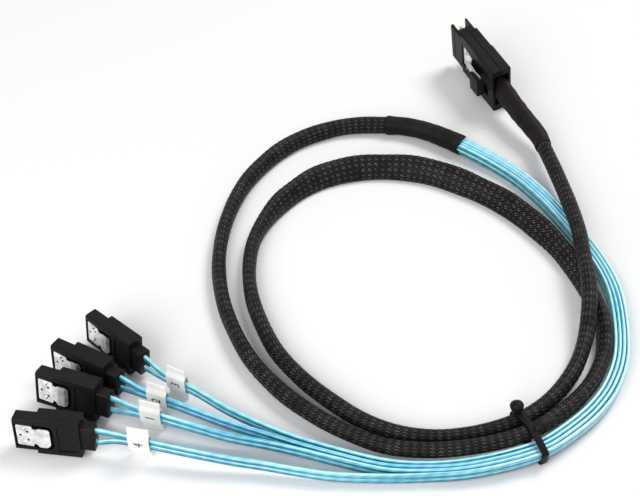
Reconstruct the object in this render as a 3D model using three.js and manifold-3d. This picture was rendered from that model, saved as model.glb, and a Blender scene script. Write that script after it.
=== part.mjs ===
// A breakout cable: one wide 36-way plug with a steel latch, a braided black sleeve wound in
// two turns, and eight pale blue flat twin cables that leave the sleeve and run, two by two,
// to four latching 7-way plugs. It lies on a table, with every plug standing on its thin edge.
// Millimetres, +Z up, the table at z = 0.

import * as THREE from 'three';
import { mergeVertices } from 'three/addons/utils/BufferGeometryUtils.js';
import Module from 'manifold-3d';

const wasm = await Module();
wasm.setup();

// Places on the table are measured from a corner of the layout, and the finished cable is moved
// so that the middle of its plugs, tie and shrink tubes comes to x = 0, y = 0.
const TABLE_CENTRE = { x: -1.99, y: 10.55 };

const GAP = 0.3;
const UP = new THREE.Vector3(0, 0, 1);

// Small 7-way plugs. In a plug's own frame X runs from the nose to the cable, Y is its
// thickness with the latch on the -Y face, and Z is its width.
const SMALL = {
  noseLength: 6.9,
  noseWidth: 12.9,
  noseThickness: 4.9,
  noseCorner: 0.9,
  tailLength: 4,
  tailWidth: 11,
  tailBottom: -0.6,
  tailTop: 2,
  tailWall: 0.4,
  bodyLength: 14.5,
  bodyWidth: 14.6,
  bodyNear: -2.75,
  bodyFar: 3.3,
  bodyCorner: 0.6,
  reliefLength: 4.3,
  reliefWidth: 9.6,
  reliefThickness: 4.6,
  reliefCorner: 1,
};
const SLOT = { width: 10.3, thickness: 1.5, keyWidth: 1.3, keyDepth: 1.2 };
const CONTACT = { count: 7, pitch: 1.27, width: 0.5, thickness: 0.3, front: 1.6, level: 0.1 };
const WAFER = { thickness: 1.2, length: 4 };
const SMALL_LATCH = {
  front: 0.9,
  thickness: 0.3,
  frontLevel: -2.25,
  noseEndLevel: -2.65,
  pressLevel: -3.15,
  pressEnd: 11.9,
  pressWidth: 7.8,
  pressCorner: 1.5,
  bladeWidth: 8.4,
  neckWidth: 6.2,
  windowSize: 0.8,
  barbLength: 1.4,
  barbHeight: 0.55,
  barbWidth: 0.9,
  barbSpread: 2.9,
};
const LATCH_RECESS = { start: 0.5, depth: 0.8, width: 9.2 };
const LATCH_POCKET = { length: 5.8, width: 9.6, depth: 1.4, corner: 2 };
const SIDE_PANEL = { start: 14.2, end: 20.4, width: 10.6, depth: 0.3 };

// The wide 36-way plug, in the same kind of frame.
const WIDE = {
  length: 36.2,
  noseLength: 9,
  noseWidth: 19.3,
  noseThickness: 7.9,
  noseWall: 1.1,
  noseSideStart: 4.6,
  width: 22.7,
  thickness: 7.9,
  heelStart: 21.4,
  heelThickness: 8.6,
  corner: 0.9,
  wall: 1.9,
  recessDepth: 3.2,
  recessWidth: 16.4,
  recessThickness: 6.6,
  gripInset: 3.5,
  grooveAt: 2.9,
  grooveWidth: 0.5,
  grooveDepth: 0.3,
};
const CARD = { start: 1.4, length: 17.6, width: 16.2, thickness: 1 };
const PADS = { perSide: 18, pitch: 0.8, width: 0.5, length: 3.6, start: 2, height: 0.08 };
const CLAMP = { backWall: 0.3, width: 15.6, thickness: 3.8, cardGrip: 2 };
const WIDE_LATCH = {
  width: 10.6,
  thickness: 0.4,
  frontLevel: -3.4,
  faceLevel: -4.2,
  flatLength: 1.2,
  riseLength: 2.3,
  riseLevel: -6.5,
  crownLength: 5,
  crownLevel: -7,
  tipLength: 4.2,
  tipLevel: -6.8,
  endRoom: 2,
  hookFromFront: 2.8,
  hookLength: 2,
  hookHeight: 0.9,
  hookWidth: 1.4,
  hookSpread: 3.9,
  windowFromHook: 1.4,
  windowWidth: 3,
};
const CHANNEL = { afterNose: 0.3, endWall: 4, sideRoom: 0.6, depth: 1.25 };
const BUTTON = { overLatch: 6.6, skirtThickness: 0.9, width: 9.4, height: 1.3, skirt: 1.6, corner: 1.4 };

// Flexible pieces. A flat twin cable stands on its thin edge, and the eight of them lie in four
// columns of two. The sleeve is a tight oval round them.
const TWIN = { width: 1.15, height: 2.1, chamfer: 0.32 };
const COLUMN_PITCH = TWIN.width + GAP;
const ROW_PITCH = TWIN.height + GAP;
const PLUG_ROW_SPREAD = 4.6;
const STRAIGHT_AT_PLUG = 9;
const SLEEVE = { width: 5.3, height: 6.4, sides: 12, steps: 80 };
const TWIN_STEPS = 44;
const SOCKET = { depth: 2.6, clearance: 0.35 };

const BOOT = {
  startWidth: 6, startHeight: 11, endWidth: 5.9, endHeight: 7, insert: 2.6, steps: 8, sides: 16,
};
const SHRINK = { startWidth: 6.6, startHeight: 7.4, endWidth: 8.2, endHeight: 8.2, steps: 8, sides: 16 };
const SHRINK_MOUTH = { depth: 3, wall: 0.45 };

const LABEL = {
  length: 7,
  height: 14.4,
  paper: 0.22,
  edge: 0.5,
  wrapHeight: 7.4,
  fromPlug: 14,
  room: 0.45,
};
const TIE = {
  width: 2.4,
  thickness: 0.9,
  knob: 1.9,
  knobAlong: 5.8,
  knobInwards: 1.6,
  neckWidth: 1.6,
  tailLength: 5.2,
  tailInwards: -2,
  tailThickness: 0.8,
};

// Where each plug stands: the middle of its nose, its heading from nose to cable in degrees from
// +X, how far its top leans back (or forward, on the wide plug), and how far its nose is raised.
const PLUG_1 = { number: 1, noseX: -91.8, noseY: -68.5, heading: -18.9, lean: 15, column: 0.5 };
const PLUG_2 = { number: 2, noseX: -88.3, noseY: -56.6, heading: -27.1, lean: 8, column: -0.5 };
const PLUG_3 = { number: 3, noseX: -78.4, noseY: -43.7, heading: -39.2, lean: 8, column: -1.5 };
const PLUG_4 = { number: 4, noseX: -96.1, noseY: -86.2, heading: -6.8, lean: 12, column: 1.5 };
const WIDE_PLUG = { noseX: 61.1, noseY: 113.2, heading: -65.7, lean: -11, noseUp: 4 };

// Routes, as points of their centre lines, from the wide plug to the small ones.
const BOOT_ROUTE = [[82, 67.2, 10], [85.6, 60.8, 8.7], [88.6, 54.9, 7.7]];
const SLEEVE_ROUTE = [
  [89.7, 49, 7.5], [92.5, 34, 7.2], [94.6, 16, 8.2], [95.5, 1, 9.4], [95, -13, 10.4],
  [94.8, -25, 10.4], [93.4, -36.5, 8.7], [90.7, -48, 6], [86.2, -58.5, 4.7], [80.4, -67.2, 4.6],
  [73.4, -74.6, 4.7], [65.5, -80, 4.7], [56.5, -83.6, 4.2], [47, -85.6, 3.5], [36, -86.3, 3.2],
  [25, -84.6, 3.2], [14, -80, 3.2], [3.4, -72.4, 3.2], [-6.5, -62.9, 3.2], [-14.5, -52.4, 3.2],
  [-20.3, -40, 3.2], [-24.3, -27, 3.2], [-25.8, -13.5, 3.2], [-24.6, 0, 3.2], [-20, 12.3, 3.2],
  [-12, 24, 3.3], [-1, 33.7, 3.6], [12, 39.2, 3.8], [27, 40.6, 4], [42.5, 38, 4],
  [58, 30.2, 3.7], [72, 19.4, 3.3], [83.5, 5, 3.2], [90.8, -8.4, 3.2], [95.8, -24, 3.2],
  [98.5, -39, 3.2], [96.6, -52, 3.4], [91.9, -62.8, 4.2], [85.3, -71.6, 5.2], [77.3, -79.2, 6],
  [68.2, -85.4, 6.3], [58, -89.4, 6], [46, -91.6, 5.4], [33, -92.2, 4.8], [20, -90, 4],
  [7.5, -84, 3.4], [-5, -75.6, 3.2], [-15, -66.4, 3.2], [-23.5, -55.3, 3.2], [-30.3, -41.5, 3.2],
  [-35, -26.5, 3.2], [-37.1, -9.5, 3.2], [-35.8, 9, 3.2], [-30.6, 28.6, 3.2], [-21.5, 44.6, 3.2],
  [-9.5, 57, 3.2], [4.5, 64.4, 3.3], [15.5, 66.8, 3.5], [27, 66.8, 3.7],
];
const SHRINK_ROUTE = [
  [27.4, 66.8, 3.7], [35.5, 65.6, 3.9], [43.5, 62.6, 4.1], [51, 58.2, 4.15], [57.6, 53.6, 4.15],
];
const BUNDLE_ROUTE = [
  [55.2, 55.3, 4.15], [62, 50.5, 3.6], [70, 44.6, 2.8], [78.6, 36.2, 2.4], [86.3, 25, 2.4],
  [92.5, 13.4, 2.4], [98.2, 1, 2.4], [103, -12, 2.4], [105.3, -24, 2.4], [105, -38, 2.4],
  [102.4, -53.5, 2.4], [97, -66, 2.7], [89.6, -76, 3.4], [80.8, -84, 3.8], [70.9, -90.8, 3.9],
  [60, -95, 3.8], [46, -97.8, 3], [33, -98.5, 2.4],
];
const FAN_ROUTES = {
  1: [
    [20, -98.6, 2.4], [5, -95, 2.8], [-6.7, -91.9, 3.3],
    [-18, -89.4, 4], [-29.4, -87.4, 5], [-41, -84.4, 6.2],
  ],
  2: [
    [20, -97, 2.4], [5, -93.2, 2.8], [-6.7, -89.8, 3.3],
    [-18, -86.2, 4], [-29.6, -82.6, 5], [-41.5, -78.2, 6.2],
  ],
  3: [
    [20, -95.2, 2.4], [5, -91.3, 2.8], [-6.7, -87.6, 3.3],
    [-18, -83, 4], [-30, -77.2, 5], [-41, -70.6, 6.4],
  ],
  4: [
    [20, -101, 2.4], [4.4, -100.6, 2.8], [-6.6, -99.2, 3.3],
    [-17.7, -97.4, 4], [-28.9, -96, 5], [-40.2, -94.2, 6.2],
  ],
};
const TIE_AT = { x: 68.2, y: -85.4 };
const TIE_HEADING = [-0.884, -0.467];
// The inside of the tie's loop, across the three runs that it holds: how far out, and how high.
const TIE_INSIDE = [[-9.2, 1.3], [9.1, 1.3], [9.1, 6.6], [2.8, 10], [-2.6, 10], [-9.2, 7.7]];

const COLOURS = {
  blackPlastic: { color: 0x17171a, roughness: 0.45, metalness: 0 },
  steel: { color: 0xc9c9cc, roughness: 0.28, metalness: 0.9 },
  gold: { color: 0xd9b45a, roughness: 0.35, metalness: 0.8 },
  card: { color: 0x2f7f6a, roughness: 0.5, metalness: 0 },
  blue: { color: 0x4fc0e0, roughness: 0.3, metalness: 0.1 },
  sleeve: { color: 0x1a1a1d, roughness: 0.8, metalness: 0 },
  shrink: { color: 0x19181a, roughness: 0.6, metalness: 0 },
  paper: { color: 0xf2f2ee, roughness: 0.8, metalness: 0 },
  filler: { color: 0x8c8a80, roughness: 0.7, metalness: 0 },
};

// Cutting and joining

function solid(geometry) {
  const bare = geometry.clone();
  bare.deleteAttribute('normal');
  bare.deleteAttribute('uv');
  const merged = mergeVertices(bare, 1e-5);
  return new wasm.Manifold(new wasm.Mesh({
    numProp: 3,
    vertProperties: new Float32Array(merged.attributes.position.array),
    triVerts: new Uint32Array(merged.index.array),
  }));
}

function geometryOf(manifold) {
  const mesh = manifold.getMesh();
  const geometry = new THREE.BufferGeometry();
  geometry.setAttribute('position', new THREE.BufferAttribute(new Float32Array(mesh.vertProperties), 3));
  geometry.setIndex(new THREE.BufferAttribute(new Uint32Array(mesh.triVerts), 1));
  geometry.computeVertexNormals();
  return geometry;
}

const join = (first, ...others) => others.reduce((sum, next) => sum.add(next), first);
const cut = (first, ...others) => others.reduce((rest, next) => rest.subtract(next), first);

// Basic forms, each returned as a solid

function box(x, y, z) {
  const geometry = new THREE.BoxGeometry(x[1] - x[0], y[1] - y[0], z[1] - z[0]);
  geometry.translate((x[0] + x[1]) / 2, (y[0] + y[1]) / 2, (z[0] + z[1]) / 2);
  return solid(geometry);
}

function outline(points) {
  return new THREE.Shape(points.map(([a, b]) => new THREE.Vector2(a, b)));
}

function roundedRectangle(a, b, corner) {
  const shape = new THREE.Shape();
  shape.moveTo(a[0] + corner, b[0]);
  shape.lineTo(a[1] - corner, b[0]);
  shape.absarc(a[1] - corner, b[0] + corner, corner, -Math.PI / 2, 0);
  shape.lineTo(a[1], b[1] - corner);
  shape.absarc(a[1] - corner, b[1] - corner, corner, 0, Math.PI / 2);
  shape.lineTo(a[0] + corner, b[1]);
  shape.absarc(a[0] + corner, b[1] - corner, corner, Math.PI / 2, Math.PI);
  shape.lineTo(a[0], b[0] + corner);
  shape.absarc(a[0] + corner, b[0] + corner, corner, Math.PI, Math.PI * 1.5);
  return shape;
}

function extrude(shape, depth, segments = 3) {
  return new THREE.ExtrudeGeometry(shape, { depth, bevelEnabled: false, curveSegments: segments, steps: 1 });
}

// A section drawn in (Y, Z) and run along X.
function alongX(shape, x, segments) {
  const geometry = extrude(shape, x[1] - x[0], segments);
  geometry.applyMatrix4(new THREE.Matrix4().set(0, 0, 1, x[0], 1, 0, 0, 0, 0, 1, 0, 0, 0, 0, 0, 1));
  return solid(geometry);
}

// An outline drawn in (X, Z) and run along Y.
function alongY(shape, y, segments) {
  const geometry = extrude(shape, y[1] - y[0], segments);
  geometry.applyMatrix4(new THREE.Matrix4().set(1, 0, 0, 0, 0, 0, -1, y[1], 0, 1, 0, 0, 0, 0, 0, 1));
  return solid(geometry);
}

// A side view drawn in (X, Y) and run along Z.
function alongZ(shape, z, segments) {
  const geometry = extrude(shape, z[1] - z[0], segments);
  geometry.translate(0, 0, z[0]);
  return solid(geometry);
}

const middle = (size, centre = 0) => [centre - size / 2, centre + size / 2];

// A bent strip: its outer surface follows the points, and its thickness lies on the +Y side.
function strip(points, thickness, z) {
  const inner = points.map(([x, y]) => [x, y + thickness]).reverse();
  return alongZ(outline([...points, ...inner]), z);
}

// Routes, with a frame that keeps a section upright

class UprightPath extends THREE.CatmullRomCurve3 {
  constructor(points) {
    super(points.map((point) => new THREE.Vector3(...point)), false, 'catmullrom', 0.5);
  }

  computeFrenetFrames(segments) {
    const frames = { tangents: [], normals: [], binormals: [] };
    for (let i = 0; i <= segments; i += 1) {
      const tangent = this.getTangentAt(i / segments).normalize();
      const side = new THREE.Vector3().crossVectors(UP, tangent).normalize();
      frames.tangents.push(tangent);
      frames.normals.push(side);
      frames.binormals.push(new THREE.Vector3().crossVectors(tangent, side).normalize());
    }
    return frames;
  }
}

function ovalPoints(width, height, sides) {
  const points = [];
  for (let i = 0; i < sides; i += 1) {
    const angle = ((i + 0.5) / sides) * Math.PI * 2;
    points.push([(width / 2) * Math.cos(angle), (height / 2) * Math.sin(angle)]);
  }
  return points;
}

function tube(path, section, steps) {
  return new THREE.ExtrudeGeometry(outline(section), { steps, bevelEnabled: false, extrudePath: path });
}

// A closed loft along a path: sizeAt(u) gives the oval's width and height at each ring.
function taperedTube(path, sizeAt, steps, sides) {
  const frames = path.computeFrenetFrames(steps);
  const positions = [];
  const triangles = [];
  for (let ring = 0; ring <= steps; ring += 1) {
    const centre = path.getPointAt(ring / steps);
    const [width, height] = sizeAt(ring / steps);
    for (const [across, high] of ovalPoints(width, height, sides)) {
      const corner = centre.clone();
      corner.addScaledVector(frames.normals[ring], across);
      corner.addScaledVector(frames.binormals[ring], high);
      positions.push(...corner.toArray());
    }
  }
  for (let ring = 0; ring < steps; ring += 1) {
    for (let i = 0; i < sides; i += 1) {
      const a = ring * sides + i;
      const b = ring * sides + ((i + 1) % sides);
      triangles.push(a, b, b + sides, a, b + sides, a + sides);
    }
  }
  const last = steps * sides;
  for (let i = 1; i < sides - 1; i += 1) {
    triangles.push(0, i + 1, i, last, last + i, last + i + 1);
  }
  const geometry = new THREE.BufferGeometry();
  geometry.setAttribute('position', new THREE.BufferAttribute(new Float32Array(positions), 3));
  geometry.setIndex(triangles);
  geometry.computeVertexNormals();
  return geometry;
}

// Scene graph

function piece(name, geometry, look) {
  const mesh = new THREE.Mesh(geometry, new THREE.MeshStandardMaterial(COLOURS[look]));
  mesh.name = name;
  return mesh;
}

const radians = THREE.MathUtils.degToRad;

// The turn of a plug that stands on its edge, leaning back and with its nose raised.
function plugTurn({ heading, lean, noseUp = 0 }) {
  return new THREE.Euler(radians(-lean), radians(noseUp), radians(heading), 'ZYX');
}

// Stands a plug's group on the table, with its lowest corner at z = 0.
function stand(group, place) {
  group.rotation.copy(plugTurn(place));
  group.updateMatrixWorld(true);
  const lowest = new THREE.Box3().setFromObject(group, true).min.z;
  group.position.set(place.noseX, place.noseY, -lowest);
  group.updateMatrixWorld(true);
  return group;
}

// Small plug

const smallBodyEnd = SMALL.noseLength + SMALL.bodyLength;
const smallEnd = smallBodyEnd + SMALL.reliefLength;
const tailEnd = SMALL.noseLength + SMALL.tailLength;
const waferStart = SMALL.noseLength - GAP;
const reliefMiddle = (SMALL.bodyNear + SMALL.bodyFar) / 2;

function smallNose() {
  const shell = roundedRectangle(middle(SMALL.noseThickness), middle(SMALL.noseWidth), SMALL.noseCorner);
  const nose = alongX(shell, [0, SMALL.noseLength]);
  const tail = box([SMALL.noseLength - 1, tailEnd], [SMALL.tailBottom, SMALL.tailTop], middle(SMALL.tailWidth));
  const slot = box([-1, waferStart], middle(SLOT.thickness), middle(SLOT.width));
  const keyTop = SLOT.width / 2;
  const keyDepth = SLOT.thickness / 2 + SLOT.keyDepth;
  const key = box([-1, waferStart - 1], [0, keyDepth], [keyTop - SLOT.keyWidth, keyTop]);
  const pocket = box(
    [waferStart - 1, tailEnd + 1],
    [SMALL.tailBottom + SMALL.tailWall, SMALL.tailTop - SMALL.tailWall],
    middle(SLOT.width),
  );
  const nearFace = -SMALL.noseThickness / 2;
  const recess = box(
    [LATCH_RECESS.start, SMALL.noseLength + 1],
    [nearFace - 1, nearFace + LATCH_RECESS.depth],
    middle(LATCH_RECESS.width),
  );
  return cut(join(nose, tail), slot, key, pocket, recess);
}

function contactWafer() {
  const level = [CONTACT.level, CONTACT.level + WAFER.thickness];
  let wafer = box([waferStart, waferStart + WAFER.length], level, middle(SLOT.width - 2 * GAP));
  for (let i = 0; i < CONTACT.count; i += 1) {
    const z = (i - (CONTACT.count - 1) / 2) * CONTACT.pitch;
    const blade = box(
      [CONTACT.front, waferStart + 0.5],
      [CONTACT.level, CONTACT.level + CONTACT.thickness],
      middle(CONTACT.width, z),
    );
    wafer = wafer.add(blade);
  }
  return wafer;
}

function cableSocket(z) {
  const width = TWIN.width + 2 * SOCKET.clearance;
  const height = TWIN.height + 2 * SOCKET.clearance;
  return box([smallEnd - SOCKET.depth, smallEnd + 1], middle(width, reliefMiddle), middle(height, z));
}

function smallBody() {
  const front = SMALL.noseLength + GAP;
  const section = roundedRectangle([SMALL.bodyNear, SMALL.bodyFar], middle(SMALL.bodyWidth), SMALL.bodyCorner);
  const block = alongX(section, [front, smallBodyEnd]);
  const reliefSection = roundedRectangle(
    middle(SMALL.reliefThickness, reliefMiddle), middle(SMALL.reliefWidth), SMALL.reliefCorner,
  );
  const relief = alongX(reliefSection, [smallBodyEnd - 1, smallEnd]);
  const cavity = box(
    [front - 1, tailEnd + GAP],
    [SMALL.tailBottom - GAP, SMALL.tailTop + GAP],
    middle(SMALL.tailWidth + 2 * GAP),
  );
  const pocketOutline = roundedRectangle(
    [front - LATCH_POCKET.length, front + LATCH_POCKET.length], middle(LATCH_POCKET.width), LATCH_POCKET.corner,
  );
  const pocket = alongY(pocketOutline, [SMALL.bodyNear - 1, SMALL.bodyNear + LATCH_POCKET.depth], 5);
  const panelOutline = roundedRectangle([SIDE_PANEL.start, SIDE_PANEL.end], middle(SIDE_PANEL.width), 0.5);
  const panel = alongY(panelOutline, [SMALL.bodyNear - 1, SMALL.bodyNear + SIDE_PANEL.depth], 2);
  const grips = [0, 1, 2].map((i) => {
    const at = smallBodyEnd - 2.6 - i * 1.7;
    return box([at - 0.5, at], [SMALL.bodyFar - 0.35, SMALL.bodyFar + 1], middle(SMALL.bodyWidth - 4));
  });
  const sockets = [-1, 1].map((side) => cableSocket((side * PLUG_ROW_SPREAD) / 2));
  return cut(join(block, relief), cavity, pocket, panel, ...grips, ...sockets);
}

function smallLatch() {
  const { front, thickness, bladeWidth, neckWidth, pressWidth, pressCorner, pressEnd } = SMALL_LATCH;
  const noseEnd = SMALL.noseLength;
  const bend = strip([
    [front, SMALL_LATCH.frontLevel],
    [noseEnd, SMALL_LATCH.noseEndLevel],
    [noseEnd + 1.4, SMALL_LATCH.pressLevel],
    [pressEnd - 1.2, SMALL_LATCH.pressLevel],
    [pressEnd, SMALL_LATCH.pressLevel + 0.35],
  ], thickness, middle(bladeWidth));
  const depth = [SMALL_LATCH.pressLevel - 1, 0];
  const blade = alongY(roundedRectangle([front, noseEnd - 0.6], middle(bladeWidth), 0.5), depth, 2);
  const neck = box([noseEnd - 2, noseEnd + 2], depth, middle(neckWidth));
  const press = alongY(roundedRectangle([noseEnd + 0.5, pressEnd], middle(pressWidth), pressCorner), depth, 4);
  let plate = bend.intersect(join(blade, neck, press));
  for (const [x, z] of [[2.2, 0], [4.6, 1.7], [4.6, -1.7]]) {
    plate = plate.subtract(box(middle(SMALL_LATCH.windowSize, x), depth, middle(SMALL_LATCH.windowSize, z)));
  }
  const slope = (SMALL_LATCH.noseEndLevel - SMALL_LATCH.frontLevel) / (noseEnd - front);
  for (const side of [-1, 1]) {
    const start = 2.6;
    const end = start + SMALL_LATCH.barbLength;
    const rootStart = SMALL_LATCH.frontLevel + slope * (start - front) + thickness / 2;
    const rootEnd = SMALL_LATCH.frontLevel + slope * (end - front) + thickness / 2;
    const tip = rootEnd - thickness / 2 - SMALL_LATCH.barbHeight;
    const barb = outline([[start, rootStart], [end, rootEnd], [end, tip]]);
    plate = plate.add(alongZ(barb, middle(SMALL_LATCH.barbWidth, side * SMALL_LATCH.barbSpread)));
  }
  return plate;
}

function smallPlug(place) {
  const name = `sata_${place.number}`;
  const group = new THREE.Group();
  group.add(piece(`${name}_nose_housing`, geometryOf(smallNose()), 'blackPlastic'));
  group.add(piece(`${name}_contact_wafer`, geometryOf(contactWafer()), 'gold'));
  group.add(piece(`${name}_overmold`, geometryOf(smallBody()), 'blackPlastic'));
  group.add(piece(`${name}_latch`, geometryOf(smallLatch()), 'steel'));
  return stand(group, place);
}

// Wide plug

const cardEnd = CARD.start + CARD.length;
const clampStart = cardEnd + GAP;
const clampEnd = WIDE.length - WIDE.recessDepth - CLAMP.backWall - GAP;
const channelStart = WIDE.noseLength + CHANNEL.afterNose;
const channelEnd = WIDE.length - CHANNEL.endWall;
const latchFront = channelStart + GAP;
const latchEnd = channelEnd - WIDE_LATCH.endRoom;
const crownEnd = latchEnd - WIDE_LATCH.tipLength;
const riseEnd = crownEnd - WIDE_LATCH.crownLength;
const flatEnd = riseEnd - WIDE_LATCH.riseLength;
const faceAt = flatEnd - WIDE_LATCH.flatLength;

// Half of the wide plug's moulded housing: side is -1 for the half with the latch, 1 for the other.
function housingHalf(side) {
  const across = (near, far) => (side < 0 ? [-far, -near] : [near, far]);
  const parting = GAP / 2;
  const noseSection = roundedRectangle(middle(WIDE.noseThickness), middle(WIDE.noseWidth), WIDE.corner);
  const bodySection = roundedRectangle(middle(WIDE.thickness), middle(WIDE.width), WIDE.corner);
  const heelSection = roundedRectangle(middle(WIDE.heelThickness), middle(WIDE.width), WIDE.corner);
  const whole = join(
    alongX(noseSection, [0, WIDE.noseLength + 1]),
    alongX(bodySection, [WIDE.noseLength, WIDE.heelStart + 1]),
    alongX(heelSection, [WIDE.heelStart, WIDE.length]),
  );
  const half = whole.intersect(box([-1, WIDE.length + 1], across(parting, WIDE.width), middle(2 * WIDE.width)));
  const wallInside = WIDE.noseThickness / 2 - WIDE.noseWall;
  const openNose = box([-1, WIDE.noseSideStart], across(-1, wallInside), middle(2 * WIDE.width));
  const mouth = box([-1, WIDE.noseLength], across(-1, wallInside), middle(CARD.width + 2 * GAP));
  const cardSeat = box(
    [WIDE.noseLength - 1, clampStart], across(-1, CARD.thickness / 2 + GAP), middle(CARD.width + 2 * GAP),
  );
  const room = box(
    [cardEnd - 1, clampEnd + GAP], across(-1, CLAMP.thickness / 2 + GAP), middle(CLAMP.width + 2 * GAP),
  );
  const recess = box(
    [WIDE.length - WIDE.recessDepth, WIDE.length + 1], across(-1, WIDE.recessThickness / 2), middle(WIDE.recessWidth),
  );
  return cut(half, openNose, mouth, cardSeat, room, recess);
}

function latchHalf() {
  const face = -WIDE.heelThickness / 2;
  const floor = -WIDE.thickness / 2 + CHANNEL.depth;
  const width = WIDE_LATCH.width + 2 * CHANNEL.sideRoom;
  const channel = box([channelStart, channelEnd], [face - 1, floor], middle(width));
  const grooveFloor = -WIDE.noseThickness / 2 + WIDE.grooveDepth;
  const groove = box(
    middle(WIDE.grooveWidth, WIDE.grooveAt), [face - 1, grooveFloor], middle(WIDE.noseWidth - 2 * WIDE.corner),
  );
  return cut(housingHalf(-1), channel, groove);
}

function plainHalf() {
  const face = WIDE.thickness / 2;
  const keyGroove = box([-1, WIDE.noseLength], [face - 0.5, face + 1], middle(2.2, 4.6));
  const grips = [0, 1, 2, 3].map((i) => {
    const at = WIDE.length - 4 - i * 2.2;
    return box([at - 0.7, at], [WIDE.heelThickness / 2 - 0.4, WIDE.heelThickness / 2 + 1], middle(WIDE.width - 2 * WIDE.gripInset));
  });
  return cut(housingHalf(1), keyGroove, ...grips);
}

function paddleCard() {
  let card = box([CARD.start, cardEnd], middle(CARD.thickness), middle(CARD.width));
  for (let i = 0; i < PADS.perSide; i += 1) {
    const z = (i - (PADS.perSide - 1) / 2) * PADS.pitch;
    const levels = middle(CARD.thickness + 2 * PADS.height);
    card = card.add(box([PADS.start, PADS.start + PADS.length], levels, middle(PADS.width, z)));
  }
  return card;
}

function wireClamp() {
  const block = box([clampStart, clampEnd], middle(CLAMP.thickness), middle(CLAMP.width));
  const slot = box([clampStart - 1, clampStart + CLAMP.cardGrip], middle(CARD.thickness), middle(CARD.width));
  return cut(block, slot);
}

function wideLatch() {
  const { frontLevel, faceLevel, riseLevel, thickness, hookLength } = WIDE_LATCH;
  let plate = strip([
    [latchFront, frontLevel],
    [faceAt, faceLevel],
    [flatEnd, faceLevel],
    [riseEnd, riseLevel],
    [crownEnd, WIDE_LATCH.crownLevel],
    [latchEnd, WIDE_LATCH.tipLevel],
  ], thickness, middle(WIDE_LATCH.width));
  const slope = (faceLevel - frontLevel) / (faceAt - latchFront);
  const hookStart = latchFront + WIDE_LATCH.hookFromFront;
  const hookEnd = hookStart + hookLength;
  const rootAt = (x) => frontLevel + slope * (x - latchFront) + thickness / 2;
  for (const side of [-1, 1]) {
    const tip = rootAt(hookEnd) - thickness / 2 - WIDE_LATCH.hookHeight;
    const hook = outline([[hookStart, rootAt(hookStart)], [hookEnd, rootAt(hookEnd)], [hookEnd, tip]]);
    plate = plate.add(alongZ(hook, middle(WIDE_LATCH.hookWidth, side * WIDE_LATCH.hookSpread)));
  }
  const window = [hookEnd + WIDE_LATCH.windowFromHook, faceAt - 1];
  return plate.subtract(box(window, [riseLevel, 0], middle(WIDE_LATCH.windowWidth)));
}

function thumbButton() {
  const under = WIDE_LATCH.crownLevel - GAP;
  const top = under - BUTTON.height;
  const skirtEnd = under + BUTTON.skirt;
  const start = latchEnd - BUTTON.overLatch;
  const inside = latchEnd + GAP;
  const end = inside + BUTTON.skirtThickness;
  const side = outline([
    [start, under], [start + 0.8, top], [end - 0.9, top], [end, top + 0.9],
    [end, skirtEnd], [inside, skirtEnd], [inside, under],
  ]);
  const block = alongZ(side, middle(BUTTON.width));
  const plan = roundedRectangle([start, end], middle(BUTTON.width), BUTTON.corner);
  return block.intersect(alongY(plan, [top - 1, skirtEnd + 1], 4));
}

function widePlug(place) {
  const group = new THREE.Group();
  group.add(piece('mini_sas_latch_side_shell', geometryOf(latchHalf()), 'blackPlastic'));
  group.add(piece('mini_sas_plain_side_shell', geometryOf(plainHalf()), 'blackPlastic'));
  group.add(piece('mini_sas_paddle_card', geometryOf(paddleCard()), 'card'));
  group.add(piece('mini_sas_wire_clamp', geometryOf(wireClamp()), 'filler'));
  group.add(piece('mini_sas_latch', geometryOf(wideLatch()), 'steel'));
  group.add(piece('mini_sas_thumb_button', geometryOf(thumbButton()), 'blackPlastic'));
  return stand(group, place);
}

// Cables, sleeve and shrink tubes

const pointOn = (group, x, y, z) => group.localToWorld(new THREE.Vector3(x, y, z)).toArray();

function boot(plug) {
  const start = WIDE.length - BOOT.insert;
  const route = [pointOn(plug, start, 0, 0), pointOn(plug, WIDE.length + 2, 0, 0), ...BOOT_ROUTE, SLEEVE_ROUTE[0]];
  const mix = THREE.MathUtils.lerp;
  const sizeAt = (u) => [
    mix(BOOT.startWidth, BOOT.endWidth, u),
    mix(BOOT.startHeight, BOOT.endHeight, THREE.MathUtils.smoothstep(u, 0, 0.8)),
  ];
  return taperedTube(new UprightPath(route), sizeAt, BOOT.steps, BOOT.sides);
}

function sleeve() {
  const path = new UprightPath(SLEEVE_ROUTE);
  const first = path.getPointAt(0);
  path.points[0] = first.addScaledVector(path.getTangentAt(0), GAP);
  path.updateArcLengths();
  return tube(path, ovalPoints(SLEEVE.width, SLEEVE.height, SLEEVE.sides), SLEEVE.steps);
}

function splitShrink() {
  const path = new UprightPath(SHRINK_ROUTE);
  const mix = THREE.MathUtils.lerp;
  const outer = (u) => [mix(SHRINK.startWidth, SHRINK.endWidth, u), mix(SHRINK.startHeight, SHRINK.endHeight, u)];
  const body = solid(taperedTube(path, outer, SHRINK.steps, SHRINK.sides));
  const end = path.getPointAt(1);
  const direction = path.getTangentAt(1);
  const mouthRoute = [-SHRINK_MOUTH.depth, 0, 1].map((along) => end.clone().addScaledVector(direction, along).toArray());
  const inside = [SHRINK.endWidth - 2 * SHRINK_MOUTH.wall, SHRINK.endHeight - 2 * SHRINK_MOUTH.wall];
  const mouth = solid(taperedTube(new UprightPath(mouthRoute), () => inside, 2, SHRINK.sides));
  return geometryOf(cut(body, mouth));
}

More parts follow.
